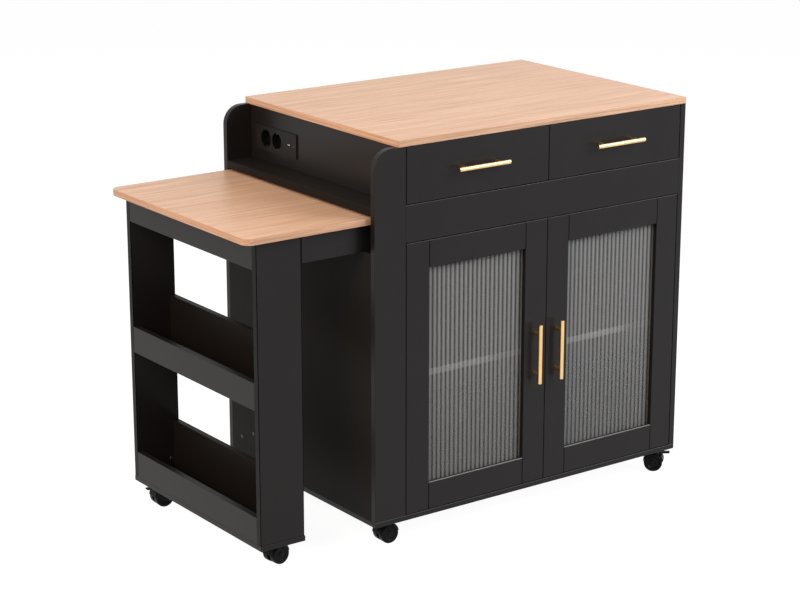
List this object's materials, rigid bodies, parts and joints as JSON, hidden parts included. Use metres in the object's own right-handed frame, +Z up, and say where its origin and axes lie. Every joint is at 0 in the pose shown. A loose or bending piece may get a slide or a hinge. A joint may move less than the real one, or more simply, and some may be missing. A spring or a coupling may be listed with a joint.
{
  "type": "kitchen island",
  "caption": "Kitchen island on casters with drawers, ribbed-glass cupboard doors, a power strip niche and a slide-out side table carried by an open shelf leg.",
  "frame": {"origin": "middle of the footprint on the floor, with the side table pulled out as at rest", "axes": "+X along the front towards the end away from the side table, +Y from the doors to the back, +Z up"},
  "size_m": [1.205, 0.632, 0.926],
  "materials": {
    "black_laminate": "matt black laminated board",
    "oak_laminate": "oak-pattern laminated board",
    "drawer_laminate": "dark laminated board",
    "ribbed_glass": "upright ribs, grey",
    "brushed_brass": "brushed brass",
    "nickel_steel": "nickel plated",
    "zinc_steel": "zinc plated",
    "strip_plastic": "fine-textured black moulding",
    "socket_plastic": "glossy black moulding",
    "caster_plastic": "moulded black nylon",
    "caster_wheel_plastic": "moulded black nylon"
  },
  "bodies": {
    "cabinet": {"bottom_board": "black_laminate", "front_stile": "black_laminate", "back_stile": "black_laminate", "left_end_panel": "black_laminate", "right_end_panel": "black_laminate", "back_panel": "black_laminate", "mid_deck": "black_laminate", "bay_floor": "black_laminate", "niche_wall": "black_laminate", "drawer_divider": "black_laminate", "front_rail": "black_laminate", "hinge_post": "black_laminate", "inner_shelf": "black_laminate", "worktop": "oak_laminate", "shelf_pins": "zinc_steel", "power_strip_housing": "strip_plastic", "power_strip_inserts": "socket_plastic", "drawer_runner_channels": "zinc_steel", "door_hinge_arms": "nickel_steel", "cabinet_caster_plates": "zinc_steel"},
    "side_table": {"table_top": "oak_laminate", "table_aprons": "black_laminate", "table_inner_rail": "black_laminate", "leg_front_panel": "black_laminate", "leg_back_panel": "black_laminate", "leg_bottom_board": "black_laminate", "leg_middle_shelf": "black_laminate", "leg_outer_rails": "black_laminate", "leg_inner_rails": "black_laminate", "leg_caster_plates": "zinc_steel"},
    "left_door": {"left_door_frame": "black_laminate", "left_door_glass": "ribbed_glass", "left_door_handle": "brushed_brass", "left_door_hinge_cups": "nickel_steel"},
    "left_drawer": {"left_drawer_front": "black_laminate", "left_drawer_box": "drawer_laminate", "left_drawer_handle": "brushed_brass", "left_drawer_slides": "zinc_steel"},
    "right_door": {"right_door_frame": "black_laminate", "right_door_glass": "ribbed_glass", "right_door_handle": "brushed_brass", "right_door_hinge_cups": "nickel_steel"},
    "right_drawer": {"right_drawer_front": "black_laminate", "right_drawer_box": "drawer_laminate", "right_drawer_handle": "brushed_brass", "right_drawer_slides": "zinc_steel"},
    "caster_front_left": {"caster_hood_front_left": "caster_plastic"},
    "wheels_front_left": {"caster_wheels_front_left": "caster_wheel_plastic"},
    "caster_front_right": {"caster_hood_front_right": "caster_plastic"},
    "wheels_front_right": {"caster_wheels_front_right": "caster_wheel_plastic"},
    "brake_front_right": {"caster_brake_front_right": "caster_plastic"},
    "caster_back_left": {"caster_hood_back_left": "caster_plastic"},
    "wheels_back_left": {"caster_wheels_back_left": "caster_wheel_plastic"},
    "caster_back_right": {"caster_hood_back_right": "caster_plastic"},
    "wheels_back_right": {"caster_wheels_back_right": "caster_wheel_plastic"},
    "caster_leg_front": {"caster_hood_leg_front": "caster_plastic"},
    "wheels_leg_front": {"caster_wheels_leg_front": "caster_wheel_plastic"},
    "caster_leg_back": {"caster_hood_leg_back": "caster_plastic"},
    "wheels_leg_back": {"caster_wheels_leg_back": "caster_wheel_plastic"},
    "brake_leg_back": {"caster_brake_leg_back": "caster_plastic"}
  },
  "joints": [
    {"name": "side_table_slide", "type": "slide", "parent": "cabinet", "child": "side_table", "axis": [-1, 0, 0], "range_m": [-0.16, 0.45]},
    {"name": "left_door_hinge", "type": "hinge", "parent": "cabinet", "child": "left_door", "pos_m": [-0.2045, -0.291, 0.3825], "axis": [0, 0, -1], "range_deg": [0, 105]},
    {"name": "left_drawer_slide", "type": "slide", "parent": "cabinet", "child": "left_drawer", "axis": [0, -1, 0], "range_m": [0, 0.26]},
    {"name": "right_door_hinge", "type": "hinge", "parent": "cabinet", "child": "right_door", "pos_m": [0.5855, -0.291, 0.3825], "axis": [0, 0, 1], "range_deg": [0, 105]},
    {"name": "right_drawer_slide", "type": "slide", "parent": "cabinet", "child": "right_drawer", "axis": [0, -1, 0], "range_m": [0, 0.26]},
    {"name": "caster_swivel_front_left", "type": "hinge", "parent": "cabinet", "child": "caster_front_left", "pos_m": [-0.2455, -0.248, 0.0225], "axis": [0, 0, 1], "continuous": true},
    {"name": "wheel_spin_front_left", "type": "hinge", "parent": "caster_front_left", "child": "wheels_front_left", "pos_m": [-0.23151, -0.24849, 0.0225], "axis": [0.0349, 0.9994, 0], "continuous": true},
    {"name": "caster_swivel_front_right", "type": "hinge", "parent": "cabinet", "child": "caster_front_right", "pos_m": [0.5585, -0.248, 0.0225], "axis": [0, 0, 1], "continuous": true},
    {"name": "wheel_spin_front_right", "type": "hinge", "parent": "caster_front_right", "child": "wheels_front_right", "pos_m": [0.56822, -0.25807, 0.0225], "axis": [0.7193, 0.6947, 0], "continuous": true},
    {"name": "brake_lever_front_right", "type": "hinge", "parent": "caster_front_right", "child": "brake_front_right", "pos_m": [0.58073, -0.27102, 0.0445], "axis": [0.7193, 0.6947, 0], "range_deg": [0, 18]},
    {"name": "caster_swivel_back_left", "type": "hinge", "parent": "cabinet", "child": "caster_back_left", "pos_m": [-0.2455, 0.273, 0.0225], "axis": [0, 0, 1], "continuous": true},
    {"name": "wheel_spin_back_left", "type": "hinge", "parent": "caster_back_left", "child": "wheels_back_left", "pos_m": [-0.24672, 0.28695, 0.0225], "axis": [-0.9962, -0.0872, 0], "continuous": true},
    {"name": "caster_swivel_back_right", "type": "hinge", "parent": "cabinet", "child": "caster_back_right", "pos_m": [0.5585, 0.273, 0.0225], "axis": [0, 0, 1], "continuous": true},
    {"name": "wheel_spin_back_right", "type": "hinge", "parent": "caster_back_right", "child": "wheels_back_right", "pos_m": [0.56329, 0.28616, 0.0225], "axis": [-0.9397, 0.342, 0], "continuous": true},
    {"name": "caster_swivel_leg_front", "type": "hinge", "parent": "side_table", "child": "caster_leg_front", "pos_m": [-0.511, -0.2075, 0.0225], "axis": [0, 0, 1], "continuous": true},
    {"name": "wheel_spin_leg_front", "type": "hinge", "parent": "caster_leg_front", "child": "wheels_leg_front", "pos_m": [-0.49714, -0.20555, 0.0225], "axis": [-0.1392, 0.9903, 0], "continuous": true},
    {"name": "caster_swivel_leg_back", "type": "hinge", "parent": "side_table", "child": "caster_leg_back", "pos_m": [-0.511, 0.241, 0.0225], "axis": [0, 0, 1], "continuous": true},
    {"name": "wheel_spin_leg_back", "type": "hinge", "parent": "caster_leg_back", "child": "wheels_leg_back", "pos_m": [-0.52497, 0.24198, 0.0225], "axis": [-0.0698, -0.9976, 0], "continuous": true},
    {"name": "brake_lever_leg_back", "type": "hinge", "parent": "caster_leg_back", "child": "brake_leg_back", "pos_m": [-0.54292, 0.24323, 0.0445], "axis": [-0.0698, -0.9976, 0], "range_deg": [0, 18]}
  ]
}
